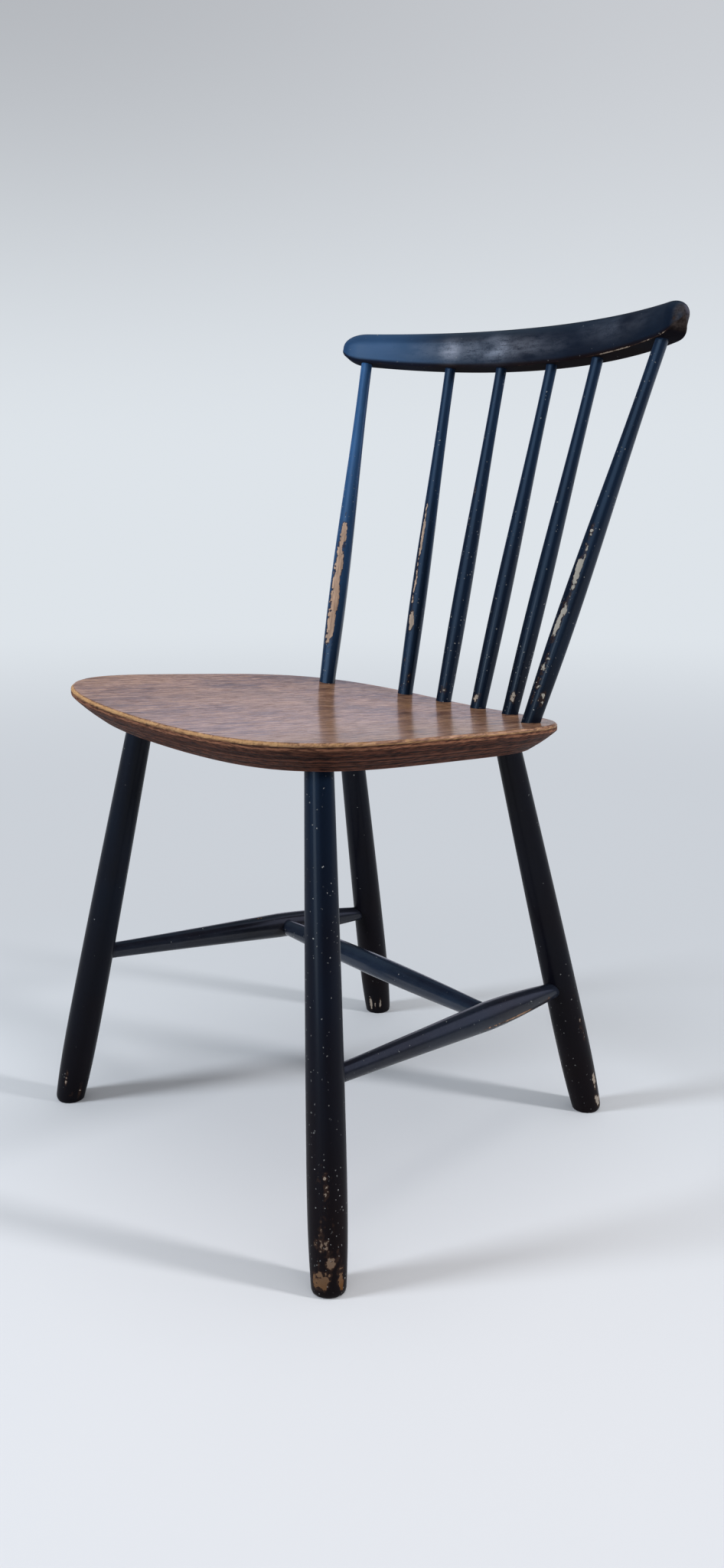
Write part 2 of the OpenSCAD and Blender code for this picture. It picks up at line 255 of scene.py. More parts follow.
lacquer = dict(
    # navy: the lacquer's blue; where it is laid on thick on the window side it is also painted
    # light
    navy=(0.040, 0.122, 0.285), black=(0.0022, 0.0032, 0.0060),
    brownBlack=(0.0052, 0.0030, 0.0034), thinned=(0.030, 0.016, 0.011),
    # scuffed: bluish grey of dulled lacquer; through the rail's broad patches it is also a
    # painted highlight
    scuffed=(0.26, 0.295, 0.37), scuffedWarm=(0.21, 0.165, 0.145),
    woodLight=(0.56, 0.33, 0.21), woodDark=(0.26, 0.13, 0.07), golden=(0.095, 0.040, 0.012),
    woodGrey=(0.29, 0.27, 0.235), primer=(0.33, 0.33, 0.32),
    gloss=0.35, coatGloss=0.16, specular=0.05, relief=0.0005,
    # stretch along the bar, repeats per metre, detail, roughness
    patterns=dict(cloud=(1.0, 16.0, 3.0, 0.5), fine=(1.0, 620.0, 3.0, 0.6),
                  grain=(0.12, 520.0, 4.0, 0.62), scratch=(0.25, 260.0, 4.0, 0.7)),
    chipScale=320.0, chipRim=(0.06, 0.20), chipRagged=1.4, chipSpread=0.10,
    # values of the worn field over which the paint thins, and over which it goes,
    # and how far the patterns shift them
    thins=(-0.55, 0.02), goes=(-0.02, 0.07), fineShift=0.9, grainShift=0.5,
    # values of a pattern over which it sets in
    scuffRange=(0.14, 0.66), woodRange=(0.35, 0.66), greyRange=(0.1, 0.45),
    # what each thing adds to the roughness
    rougher=dict(cloud=0.10, scuff=0.3, bare=0.34, speck=0.3, thinned=0.08, matt=0.6),
    # heights, as shares of the relief
    film=0.5, bareGrain=0.14, paintedGrain=0.02, chipDeep=0.3, fineTall=0.003,
)


def makeLacquer():
    paint = Finish(bpy.data.materials.new("navy_lacquer"))
    place = paint.attribute("place", "Vector")
    warm = paint.attribute("warm")
    cloud, fine, grain, scratch = paint.patterns(place, 2, lacquer["patterns"].values())
    worn = (paint.attribute("bare") + (fine - 0.5) * lacquer["fineShift"]
            + (grain - 0.5) * lacquer["grainShift"])
    bare = paint.eased(worn, *lacquer["goes"])
    thinned = paint.eased(worn, *lacquer["thins"])

    # small chips: cells of a scattered pattern, where only some cells hold one
    cells = {"Vector": place, "Scale": lacquer["chipScale"]}
    toCentre = paint.node("ShaderNodeTexVoronoi", {}, cells, "Distance")
    lots = paint.node("ShaderNodeTexVoronoi", {}, cells, "Color")
    lot = paint.node("ShaderNodeSeparateColor", {}, {"Color": lots}, 0)
    tint = paint.node("ShaderNodeSeparateColor", {}, {"Color": lots}, 1)
    chosen = paint.eased(lot + paint.attribute("fleck"), 1.0, 1.02)
    rim = toCentre + (fine - 0.5) * lacquer["chipRagged"] + tint * lacquer["chipSpread"]
    speck = chosen * (1 - paint.eased(rim, *lacquer["chipRim"]))

    # paint: black to navy, browner where warm, then scuffed and thinned; the navy share is
    # partly the lacquer's blue and partly painted light, raised where the window's light falls
    base = paint.mixed(paint.attribute("navy") * (cloud * 0.7 + 0.65),
                       lacquer["black"], lacquer["navy"])
    base = paint.mixed(warm, base, lacquer["brownBlack"])
    # scuffs dull the paint; on the rail's front face some of them are painted highlight
    scuff = (paint.attribute("scuff")
             * paint.eased(scratch + (fine - 0.5) * 0.4, *lacquer["scuffRange"]))
    dull = paint.mixed(warm, lacquer["scuffed"], lacquer["scuffedWarm"])
    base = paint.mixed(scuff * 0.9, base, dull)
    base = paint.mixed(thinned * 0.8, base, lacquer["thinned"])

    # wood under it: golden where warm, and greyed with age
    wood = paint.mixed(paint.eased(grain, *lacquer["woodRange"]), lacquer["woodDark"],
                       lacquer["woodLight"])
    wood = paint.mixed(warm * (1.45 - grain * 0.5), wood, lacquer["golden"])
    greyed = paint.attribute("grey") * paint.eased(fine, *lacquer["greyRange"])
    wood = paint.mixed(greyed, wood, lacquer["woodGrey"])
    colour = paint.mixed(bare, base, wood)
    colour = paint.mixed(speck * (0.25 + tint * 0.75), colour, lacquer["primer"])

    more = lacquer["rougher"]
    rough = (lacquer["gloss"] + (cloud - 0.5) * more["cloud"] + scuff * more["scuff"]
             + bare * more["bare"] + speck * more["speck"] + thinned * more["thinned"]
             + paint.attribute("matt") * more["matt"])
    height = ((1 - bare) * lacquer["film"] + grain * bare * lacquer["bareGrain"]
              + grain * lacquer["paintedGrain"] - speck * lacquer["chipDeep"]
              + fine * lacquer["fineTall"])
    shine = (paint.attribute("shine") * (1 - bare) * (1 - speck) * (1 - scuff * 0.6)
             * (1 - thinned * 0.5))
    return paint.finishWith(lacquer, colour, rough, height, shine)


veneer = dict(
    dark=(0.095, 0.040, 0.023), middle=(0.262, 0.131, 0.076), light=(0.475, 0.270, 0.163),
    golden=(0.42, 0.225, 0.105), rubbed=(0.44, 0.26, 0.12), glueline=(0.010, 0.006, 0.005),
    lipDark=(0.150, 0.078, 0.036), lipLight=(0.34, 0.200, 0.092),
    edgeDark=(0.050, 0.020, 0.013), edgeLight=(0.18, 0.078, 0.045),
    # plies of the down-facing bevel, made dark as painted shade
    shadedPlyDark=(0.008, 0.003, 0.003), shadedPlyLight=(0.112, 0.040, 0.023),
    gloss=0.45, specular=0.05, coat=0.46, coatGloss=0.18, relief=0.0006,
    # stretch from front to rear, repeats per metre, detail, roughness
    patterns=dict(band=(0.07, 46.0, 3.0, 0.55), streak=(0.045, 230.0, 5.0, 0.74),
                  pore=(0.045, 620.0, 3.0, 0.6), glint=(0.10, 480.0, 1.0, 0.6),
                  patch=(0.45, 14.0, 2.0, 0.5)),
    wobbleScale=60.0, layerScale=520.0, edgeScale=360.0, edgeStretch=(0.3, 0.3, 3.0),
    fineScale=420.0, layerWobble=0.002,
    bandShare=0.22, streakShare=0.46, glintShare=0.32, middleAt=0.45,
    # values of a pattern over which it sets in
    toneRange=(0.41, 0.59), patchRange=(0.45, 0.7), poreRange=(0.52, 0.60),
    plyRange=(0.40, 0.62), edgeRange=(0.38, 0.62), glueRange=(0.25, 0.45),
    rubRange=(-0.05, 0.45), rubbedRange=(0.3, 0.7),
    # depths under the upper face over which the pale lip ends, and the edge under it; below the
    # edge the down-facing bevel is painted darker as shade
    lipEnd=(0.0030, 0.0036), edgeEnd=(0.0066, 0.0080),
)


def makeVeneer():
    wood = Finish(bpy.data.materials.new("teak_veneer"))
    place = wood.node("ShaderNodeTexCoord", {}, {}, "Object")
    band, streak, pore, glint, patch = wood.patterns(place, 1, veneer["patterns"].values())
    tone = (band * veneer["bandShare"] + streak * veneer["streakShare"]
            + glint * veneer["glintShare"])
    colour = wood.ramp(wood.eased(tone, *veneer["toneRange"]),
                       [(0.0, veneer["dark"]), (veneer["middleAt"], veneer["middle"]),
                        (1.0, veneer["light"])])
    patchy = wood.eased(patch, *veneer["patchRange"]) * 0.45
    colour = wood.mixed(patchy, colour, veneer["golden"])
    pores = wood.eased(pore + (glint - 0.5) * 0.5, *veneer["poreRange"])
    colour = wood.mixed(pores * 0.6, colour, veneer["dark"])

    # edge and bevel: layers by depth under the upper face, with the bevel's plies painted dark
    # as shade
    depth = wood.attribute("depth")
    side = wood.attribute("side")
    wobble = wood.noise(place, veneer["wobbleScale"], 3.0)
    layerPlace = wood.node("ShaderNodeCombineXYZ", {},
                           {"Z": depth + wobble * veneer["layerWobble"]})
    layerTone = wood.noise(layerPlace, veneer["layerScale"], 2.0)
    edgeGrain = wood.noise(wood.stretched(place, veneer["edgeStretch"]),
                           veneer["edgeScale"], 3.0)
    ply = wood.mixed(wood.eased(layerTone * 0.6 + edgeGrain * 0.4, *veneer["plyRange"]),
                     veneer["shadedPlyDark"], veneer["shadedPlyLight"])
    lip = wood.mixed(wood.eased(edgeGrain + (wobble - 0.5) * 0.5, *veneer["edgeRange"]),
                     veneer["lipDark"], veneer["lipLight"])
    edge = wood.mixed(wood.eased(edgeGrain + (layerTone - 0.5) * 0.6, *veneer["edgeRange"]),
                      veneer["edgeDark"], veneer["edgeLight"])
    # painted shade: below the upright edge the bevel takes the dark ply colours
    ply = wood.mixed(wood.eased(depth, *veneer["edgeEnd"]), edge, ply)
    ply = wood.mixed(wood.eased(depth, *veneer["lipEnd"]), lip, ply)
    glue = wood.attribute("glueline") * wood.eased(wobble, *veneer["glueRange"])
    ply = wood.mixed(glue * 0.9, ply, veneer["glueline"])
    colour = wood.mixed(side, colour, ply)

    # varnish rubbed away, most of all along the upper edge
    fine = wood.noise(place, veneer["fineScale"], 3.0, 0.65)
    rub = wood.eased(wood.attribute("rub") + (fine - 0.5) * 0.9, *veneer["rubRange"])
    rubbed = wood.mixed(wood.eased(streak, *veneer["rubbedRange"]), veneer["golden"],
                        veneer["rubbed"])
    colour = wood.mixed(rub * 0.9, colour, rubbed)
    rough = veneer["gloss"] + (streak - 0.5) * 0.16 + pores * 0.1 + rub * 0.2 + side * 0.12
    height = streak * 0.35 - pores * 0.5 - glue * 0.5
    varnish = (1 - side) * (1 - rub * 0.6) * (1 - pores * 0.35) * veneer["coat"]
    return wood.finishWith(veneer, colour, rough, height, varnish)


seat = dict(
    width=0.402, depth=0.390, height=0.443, thick=0.025,
    tilt=4.9, dish=0.012, taper=0.0135, forward=0.0195,
    frontFullness=4.4, rearFullness=3.1,
    edgeRound=0.003, edge=0.007, bevel=0.022, bulge=0.0012,
    around=960, topRings=30, roundRings=8, edgeRings=5, bevelRings=26, underRings=10,
    topFrom=0.03, underFrom=0.15, underTo=1.5,  # angles that space the rings, in radians
)
seatFront = -seat["forward"] - seat["depth"] / 2
seatWear = dict(
    # direction round the board seen from above, half spread, strength
    rubbed=((-118, 40, 1.0), (-62, 38, 0.75), (-160, 30, 0.55), (0, 60, 0.35), (90, 70, 0.25)),
    rubRings=3.0, rubDeep=0.0005, raggedSize=0.012, raggedSeed=21,
    # rub field: least and added strength on the edge, the level taken off it, raggedness
    least=0.30, added=0.9, off=0.50, ragged=0.34,
    # x, y, size, depth
    dents=((-0.006, -0.2143, 0.004, 0.0006), (-0.09, -0.2135, 0.003, 0.0004)),
    gluelines=(0.0014, 0.0036, 0.0072, 0.0118, 0.0162, 0.0205),  # depths under the upper face
    gluelineWide=0.0005, gluelineDeep=0.00018,
    waveTall=0.0004, waveSize=0.03, waveSeed=31,
    sideDepth=(0.0016, 0.0032),  # from the upper face to the side's own finish
)


def seatTop(x, y):
    # Height falls by tan(tilt) per metre to the rear, plus dish times (2x / width) squared
    return (seat["height"] - math.tan(math.radians(seat["tilt"])) * (y - seatFront)
            + seat["dish"] * (2 * x / seat["width"]) ** 2)


def outline(a, halfWide, halfDeep, taper):
    # Superellipse: V = |sin a|^(2/n), U = |cos a|^(2/n) with their signs;
    # x = (half width - taper V) U and y = half depth V - forward
    fullness = np.where(np.sin(a) < 0, seat["frontFullness"], seat["rearFullness"])
    along = np.sign(np.sin(a)) * np.abs(np.sin(a)) ** (2 / fullness)
    across = np.sign(np.cos(a)) * np.abs(np.cos(a)) ** (2 / fullness)
    return (halfWide - taper * along) * across, halfDeep * along - seat["forward"]


def evenAngles(count, samples=40001):
    # Angles at which the outline's points lie at even steps along its length
    a = np.linspace(0, 2 * np.pi, samples)
    x, y = outline(a, seat["width"] / 2, seat["depth"] / 2, seat["taper"])
    length = np.concatenate([[0], np.cumsum(np.hypot(np.diff(x), np.diff(y)))])
    return np.interp(np.arange(count) / count * length[-1], length, a)


def seatRings():
    # Share of the outline, inset and drop of each ring: over the top, round the
    # arris, down the upright edge and the bevel, and in under the board
    arris, edge = seat["edgeRound"], seat["edge"]
    top = [(share, arris, 0.0) for share in
           np.sin(np.linspace(seat["topFrom"], np.pi / 2, seat["topRings"]))[:-1]]
    rounded = [(1.0, arris * (1 - math.sin(q)), arris * (1 - math.cos(q)))
               for q in np.linspace(0, np.pi / 2, seat["roundRings"])]
    upright = [(1.0, 0.0, drop) for drop in np.linspace(arris, edge, seat["edgeRings"])[1:-1]]
    bevel = [(1.0, seat["bevel"] * t - seat["bulge"] * math.sin(math.pi * t),
              edge + (seat["thick"] - edge) * t)
             for t in np.linspace(0, 1, seat["bevelRings"])]
    under = [(share, seat["bevel"], seat["thick"]) for share in
             np.cos(np.linspace(seat["underFrom"], seat["underTo"], seat["underRings"]))]
    return np.array(top + rounded + upright + bevel + under), len(top) + len(rounded) / 2


def buildSeat(material):
    # Point of a ring: the outline at its share and inset, its drop under seatTop
    a = evenAngles(seat["around"])
    rings, arrisRing = seatRings()
    share, inset, drop = (rings[:, k][:, None] for k in range(3))
    x, y = outline(a[None, :], share * (seat["width"] / 2 - inset),
                   share * (seat["depth"] / 2 - inset), share * seat["taper"])
    points = np.stack([x, y, seatTop(x, y) - drop], -1)

    # wear along the upper edge: strength by direction, made ragged by noise
    ring = np.arange(len(rings))[:, None]
    onArris = bell((ring - arrisRing) / seatWear["rubRings"])
    direction = np.degrees(np.arctan2(y + seat["forward"], x))
    strength = np.zeros_like(x)
    for middle, spread, level in seatWear["rubbed"]:
        strength = np.maximum(strength, level * bell(turnFrom(middle, direction) / spread))
    ragged = layeredNoise(points, seatWear["raggedSize"], seatWear["raggedSeed"])
    rub = (onArris * (seatWear["least"] + seatWear["added"] * strength) - seatWear["off"]
           + seatWear["ragged"] * ragged)
    rub = np.where(onArris > 0.02, rub, -1.0)
    worn = eased(rub, 0.0, 0.5) * seatWear["rubDeep"]

    # gluelines: shallow grooves that wave a little round the board
    depth = np.broadcast_to(drop, x.shape)
    wave = seatWear["waveTall"] * latticeNoise(points, seatWear["waveSize"],
                                               seatWear["waveSeed"])
    groove = sum(bell((depth - line - wave) / seatWear["gluelineWide"])
                 for line in seatWear["gluelines"])
    glue = np.clip(groove, 0, 1)
    for atX, atY, size, deep in seatWear["dents"]:
        dent = bell((x - atX) / size, (y - atY) / size) * (onArris > 0.05)
        worn = worn + dent * deep
        glue = np.maximum(glue, 0.9 * dent)
    inward = np.array([0.0, -seat["forward"], 0.0]) - points
    inward[..., 2] = 0
    inward /= np.linalg.norm(inward, axis=-1, keepdims=True)
    points += inward * (worn + groove * seatWear["gluelineDeep"])[..., None]
    points[..., 2] -= worn * 0.6
    centre = np.array([0, -seat["forward"], seatTop(0, -seat["forward"])])
    fields = dict(depth=depth, rub=rub, glueline=glue,
                  side=eased(depth, *seatWear["sideDepth"]))
    return buildPiece("seat", points, (centre, centre - [0, 0, seat["thick"]]),
                      fields, material, flipped=True)


barSkin = dict(
    lacquerThick=0.00028, rim=(-0.05, 0.25),  # worn field from full lacquer to none
    apart=(0.37, 0.21, 0.11),  # shift of the patterns per step of the seed
    chipSize=0.006, chipDrawn=0.35, chipTall=1.1, nickSize=0.0022, nickTall=0.35, nickSeed=7,
    cloudSize=0.05, warmCloud=0.35, fleckCloud=0.5, greyCloud=0.25,
)


def barFrame(start, end, facing):
    # The axis runs from start to end; angle 0 is the facing direction made
    # square to it, and angle 90 is axis x that
    start, end = np.array(start, float), np.array(end, float)
    axis = unit(end - start)
    across = unit(np.array(facing, float) - axis * np.dot(axis, facing))
    return start, axis, across, np.cross(axis, across)


def wornField(share, angle, patches, noise):
    # Largest over the patches of level - (lengthwise distance)^2 - (turn)^2, with
    # distances in half lengths and half turns, made ragged by noise
    field = np.full(np.broadcast(share, angle).shape, -3.0)
    for low, high, facing, spread, level in patches:
        lengthwise = (share - (low + high) / 2) / ((high - low) / 2)
        turn = turnFrom(facing, angle) / spread
        field = np.maximum(field, level - lengthwise ** 2 - turn ** 2)
    return np.clip(field + noise, -3, 3)


def chipNoise(place, skin, seed):
    # Layers of noise drawn out along the bar, with finer noise for nicks over them
    drawnOut = place * np.array([1, 1, skin["chipDrawn"]])
    return (layeredNoise(drawnOut, skin["chipSize"], seed + 1, 4) * skin["chipTall"]
            + latticeNoise(place, skin["nickSize"], seed + skin["nickSeed"]) * skin["nickTall"])


def buildBar(name, start, end, facing, stations, radii, wear, material, flatFoot=False):
    # point = start + axis * station + radius * (cos angle across + sin angle beside)
    start, axis, across, beside = barFrame(start, end, facing)
    angle = np.linspace(0, 360, wear["around"], endpoint=False)[None, :]
    cosine, sine = np.cos(np.radians(angle)), np.sin(np.radians(angle))
    h, radius = stations[:, None], radii[:, None]
    spoke = cosine[..., None] * across + sine[..., None] * beside
    ideal = start + h[..., None] * axis + radius[..., None] * spoke
    place = np.stack(np.broadcast_arrays(radius * cosine, radius * sine, h), -1)
    place = place + wear["seed"] * np.array(barSkin["apart"])
    low, high = wear["span"]
    share = (h - low) / (high - low)
    ragged = chipNoise(place, barSkin, wear["seed"] * 10)
    bare = wornField(share, angle, wear["patches"], ragged * wear["ragged"])
    recess = eased(bare, *barSkin["rim"]) * barSkin["lacquerThick"]
    points = ideal - spoke * recess[..., None]
    poles = [start + axis * stations[0], start + axis * stations[-1]]
    if flatFoot:
        points[..., 2] = np.maximum(points[..., 2], 0)
        poles[0][2] = 0
    cloud = layeredNoise(place, barSkin["cloudSize"], wear["seed"] + 40, 2)
    warm = between(wear["warm"], share) + barSkin["warmCloud"] * cloud
    fleck = between(wear["fleck"], share) + barSkin["fleckCloud"] * wear["fleck"][0] * cloud
    grey = between(wear["grey"], share) + barSkin["greyCloud"] * cloud
    fields = dict(place=place, bare=bare, warm=np.clip(warm, 0, 1), fleck=np.clip(fleck, 0, 1),
                  navy=between(wear["navy"], share), grey=np.clip(grey, 0, 1),
                  scuff=wear["scuff"], shine=np.clip(between(wear["shine"], share), 0, 1),
                  matt=0)
    return buildPiece(name, points, poles, fields, material)


legs = dict(
    topWide=0.0245, bellyWide=0.0336, footWide=0.029, bellyUp=0.095, footRound=0.006,
    frontFootX=0.214, rearFootX=0.163, footDepth=0.398,
    frontTopX=0.134, frontTopY=0.1205, rearTopX=0.117, rearTopY=0.1275,
    socket=0.014, rings=372, roundRings=8, soleRings=4,
    soleFrom=0.3, sunk=0.6,  # innermost ring under the foot; share of its rounding cut level
    inset=0.0001,  # keeps the smooth feet inside the box of the modelled ones
    shared=dict(around=96, shine=(0.0, 0.12), scuff=0),
)
legWear = {
    # pairs: at the foot and at the seat
    # patches: from, to as shares of the length, facing, half turn, level
    "front_leg_right": dict(
        seed=1, ragged=1.5, warm=(0.9, 0.1), grey=(0.0, 2.5), fleck=(0.42, 0.14),
        navy=(0, 0.054),
        patches=((0.006, 0.058, -66, 70, 0.16), (0.0, 0.15, -52, 75, -0.42),
                 (0.04, 0.34, -40, 60, -0.82), (0.0, 0.08, 10, 40, -0.3),
                 (0.0, 0.05, 120, 60, -0.15), (0.35, 0.50, 90, 30, -0.7))),
    "rear_leg_right": dict(
        seed=2, ragged=1.2, warm=(0.7, 0.35), grey=(0.6, 0.9), fleck=(0.16, 0.03),
        navy=(0, 0.015),
        patches=((0.03, 0.15, 12, 16, -0.15), (0.05, 0.38, 5, 17, -0.40),
                 (0.0, 0.06, 18, 24, 0.25), (0.0, 0.03, -30, 60, -0.5),
                 (0.0, 0.05, 120, 55, 0.0), (0.40, 0.55, 100, 25, -0.6))),
    "front_leg_left": dict(
        seed=3, ragged=1.1, warm=(0.45, 0.15), grey=(0.5, 0.9), fleck=(0.05, 0.03),
        navy=(0, 0.024),
        patches=((0.0, 0.06, -40, 50, -0.35), (0.0, 0.10, -60, 10, -0.2),
                 (0.0, 0.09, 0, 12, -0.2), (0.0, 0.05, 170, 60, -0.1),
                 (0.28, 0.42, 150, 30, -0.6))),
    "rear_leg_left": dict(
        seed=4, ragged=1.0, warm=(0.6, 0.25), grey=(0.7, 0.9), fleck=(0.06, 0.03),
        navy=(0, 0.015),
        patches=((0.0, 0.075, -28, 8, 0.2), (0.0, 0.06, -52, 6, 0.1), (0.0, 0.08, -72, 8, 0.2),
                 (0.0, 0.03, -45, 50, -0.5), (0.0, 0.06, 110, 60, 0.0),
                 (0.30, 0.45, 120, 25, -0.6))),
}


def footPoint(side, front):
    return np.array([side * legs["frontFootX" if front else "rearFootX"],
                     (-0.5 if front else 0.5) * legs["footDepth"], 0.0])


def legTop(side, front):
    x = side * legs["frontTopX" if front else "rearTopX"]
    y = (-legs["frontTopY"] if front else legs["rearTopY"]) - seat["forward"]
    return np.array([x, y, seatTop(x, y) - seat["thick"]])


def buildLeg(name, side, front, material):
    # Radius: foot rounding on a quarter circle, then belly minus (belly - foot)
    # times (1 - h/belly height)^3, then a mean of a line and a sine to the top
    low, high = footPoint(side, front), legTop(side, front)
    length = np.linalg.norm(high - low)
    below = legs["footRound"] * legs["sunk"]
    foot, belly, top = (legs[key] / 2 for key in ("footWide", "bellyWide", "topWide"))
    sole = np.linspace(legs["soleFrom"], 1, legs["soleRings"] + 1)[:-1]
    q = np.linspace(0, np.pi / 2, legs["roundRings"] + 1)[:-1]
    h = np.linspace(legs["footRound"] - below, length, legs["rings"])
    lower = belly - (belly - foot) * (1 - np.clip(h / legs["bellyUp"], 0, 1)) ** 3
    u = np.clip(1 - (h - legs["bellyUp"]) / (length - legs["bellyUp"]), 0, 1)
    upper = top + (belly - top) * (u + np.sin(u * np.pi / 2)) / 2
    radii = np.concatenate([sole * (foot - legs["footRound"]),
                            foot - legs["footRound"] * (1 - np.sin(q)),
                            np.where(h < legs["bellyUp"], lower, upper), [top]])
    stations = np.concatenate([np.full(legs["soleRings"], -below),
                               legs["footRound"] * (1 - np.cos(q)) - below,
                               h, [length + legs["socket"]]])
    wear = dict(legWear[name], span=(0, length), **legs["shared"])
    return buildBar(name, low, high, (1, 0, 0), stations, radii - legs["inset"], wear,
                    material, flatFoot=True)


stretchers = dict(
    frontUp=0.168, rearUp=0.139, sideEnd=0.016, sideBelly=0.027, crossPlace=0.65,
    sidePower=1.15, crossEnd=0.0174, crossBelly=0.0228, stop=0.003, rings=300,
    shared=dict(around=72, grey=(0.1, 0.1), scuff=0.03),
)
stretcherWear = {
    # pairs: at the start and at the end of the bar; patches as on the legs
    "side_stretcher_right": dict(
        seed=11, ragged=0.8, warm=(0.2, 0.38), fleck=(0.10, 0.16), navy=(0.03, 0.03),
        shine=(0.30, 0.36),
        patches=((0.53, 0.96, 22, 9, 0.35), (0.36, 0.75, 24, 12, -0.5),
                 (0.90, 0.99, 10, 40, -0.5), (0.02, 0.10, 40, 30, -0.5))),
    "side_stretcher_left": dict(
        seed=12, ragged=0.9, warm=(0.25, 0.45), fleck=(0.04, 0.04), navy=(0.024, 0.024),
        shine=(0.5, 0.5),
        patches=((0.30, 0.80, 100, 14, -0.5),)),
    "cross_stretcher": dict(
        seed=13, ragged=0.9, warm=(0.2, 0.2), fleck=(0.06, 0.06), navy=(0.06, 0.06),
        shine=(0.85, 0.85),
        patches=((0.30, 0.60, 60, 14, -0.6),)),
}


def legAt(side, front, height):
    low, high = footPoint(side, front), legTop(side, front)
    return low + (high - low) * height / high[2]


def buildStretcher(name, a, b, facing, inside, endWide, bellyWide, swell, material):
    # Straight inside its sockets, and end + (belly - end) * swell(t) between them
    length = np.linalg.norm(b - a)
    t = np.linspace(0, 1, stretchers["rings"])
    radii = np.concatenate([[endWide / 2],
                            (endWide + (bellyWide - endWide) * swell(t)) / 2, [endWide / 2]])
    stations = np.concatenate([[0], inside + (length - 2 * inside) * t, [length]])
    wear = dict(stretcherWear[name], span=(inside, length - inside), **stretchers["shared"])
    return buildBar(name, a, b, facing, stations, radii, wear, material)


def sideSwell(t):
    # (t/place)^power up to the belly, then a sine down to the rear
    place = stretchers["crossPlace"]
    rising = np.clip(t / place, 0, 1) ** stretchers["sidePower"]
    return np.where(t < place, rising, np.sin(np.clip((1 - t) / (1 - place), 0, 1) * np.pi / 2))


def crossSwell(t):
    # One arch of a sine
    return np.sin(np.pi * t)


def buildStretchers(material):
    # Side ones from front leg to rear leg, and the cross one from left to right
    stop = stretchers["stop"]
    for side, name in ((1, "side_stretcher_right"), (-1, "side_stretcher_left")):
        front = legAt(side, True, stretchers["frontUp"])
        rear = legAt(side, False, stretchers["rearUp"])
        buildStretcher(name, towards(front, rear, stop), towards(rear, front, stop),
                       (side, 0, 0), legs["bellyWide"] / 2, stretchers["sideEnd"],
                       stretchers["sideBelly"], sideSwell, material)
    onLeft = front + (rear - front) * stretchers["crossPlace"]
    left = onLeft + np.array([stop, 0, 0])
    right = left * np.array([-1, 1, 1])
    buildStretcher("cross_stretcher", left, right, (0, -1, 0), stretchers["sideBelly"] / 2,
                   stretchers["crossEnd"], stretchers["crossBelly"], crossSwell, material)


rail = dict(
    radius=0.440, reach=0.236, height=0.750, back=0.253, lean=12.7,
    thick=0.0215, middleTall=0.041, tipTall=0.031, rise=0.0015, crown=0.014, tip=0.028,
    flareShare=0.1, flareTall=0.002, tallFullness=2.2, thickFullness=2.0,
    spindleForward=0.0025, around=132, rings=440, crownSteps=200,
    inset=0.0002,  # keeps the smooth rail inside the box of the modelled one
)
railWear = dict(
    seed=31, apart=0.1,
    chipSize=0.007, chipDrawn=0.4, chipTall=1.0, nickSize=0.002, nickTall=0.35, nickSeed=9,
    # the first two scuffs are real wear; the broad third and the faint fourth on the right are
    # painted highlight, the front face's hazy sheen
    # place along the rail from -1 to 1, half length, height share, half height, level
    scuffsAndSheen=((-0.42, 0.06, 0.46, 0.24, 1.0), (-0.17, 0.08, 0.47, 0.25, 1.0),
            (-0.20, 0.36, 0.46, 0.25, 0.42), (0.55, 0.25, 0.6, 0.3, 0.14)),
    scuffSize=0.014, scuffDrawn=0.5,
    spot=(0.975, 0.012, 0.35, 0.16),  # laid out as a scuff is, and worn to the wood
    # lower front edge: rubbed most between two places along the rail, and its
    # reach up the front and across the section
    edgeRubbed=(0.55, 0.93), edgeUp=0.0022, edgeAt=-0.97, edgeAcross=0.12,
    rightTip=(0.955, 0.985), leftTip=(0.97, 1.0), tipScuff=0.22,
    front=(0.1, 0.8),  # share of half the thickness over which the front face begins
    under=0.006, underSoft=0.004, fleck=0.05, grey=0.45,
    # navy at the left end and at the right, and where it fades along the rail: partly painted
    # light, high at the left end where the window's light falls
    navy=(0.40, 0.04), navyFades=(-0.95, -0.30),
    shine=(0.85, 0.27), shineFades=(-0.4, 0.5),
    warm=0.12, warmUnder=0.75, warmTip=0.8, warmCloud=0.3, cloudSize=0.05,
)
leaning = math.radians(rail["lean"])
railAcross = np.array([1.0, 0, 0])
railBackward = np.array([0, math.cos(leaning), -math.sin(leaning)])
railUpward = np.array([0, math.sin(leaning), math.cos(leaning)])


def railPoint(a, s, h):
    # Angle a round the rail's curve, s behind its middle line and h up the lean
    a, s, h = (np.asarray(v, float)[..., None] for v in (a, s, h))
    return ((rail["radius"] + s) * np.sin(a) * railAcross
            + np.array([0, rail["back"], rail["height"]])
            - (rail["radius"] - (rail["radius"] + s) * np.cos(a)) * railBackward
            + h * railUpward)


def railSection(count):
    # Outline of the section at even steps: a flat underside, sides that lean in
    # from its edges by the flare and then out again, and half an ellipse on top.
    # Gives x as a share of half the thickness, the height over the underside,
    # and the share of any change in height that a point takes part in.
    tall, crown, half = rail["middleTall"], rail["crown"], rail["thick"] / 2
    q = np.linspace(0, np.pi, rail["crownSteps"])
    flare, flareTall = rail["flareShare"] * half, rail["flareTall"]
    x = np.concatenate([[-half, -half + flare], -half * np.cos(q), [half - flare, half, -half]])
    z = np.concatenate([[0, flareTall], tall - crown * (1 - np.sin(q)), [flareTall, 0, 0]])
    length = np.concatenate([[0], np.cumsum(np.hypot(np.diff(x), np.diff(z)))])
    even = np.arange(count) / count * length[-1]
    x, z = np.interp(even, length, x), np.interp(even, length, z)
    return x / half, z, np.clip((z - flareTall) / (tall - crown - flareTall), 0, 1)


def tipShare(s, r, fullness):
    # (1 - (1 - s/r)^n)^(1/n) within r of the tip, and 1 past it
    return (1 - (1 - np.clip(s / r, 0, 1)) ** fullness) ** (1 / fullness)


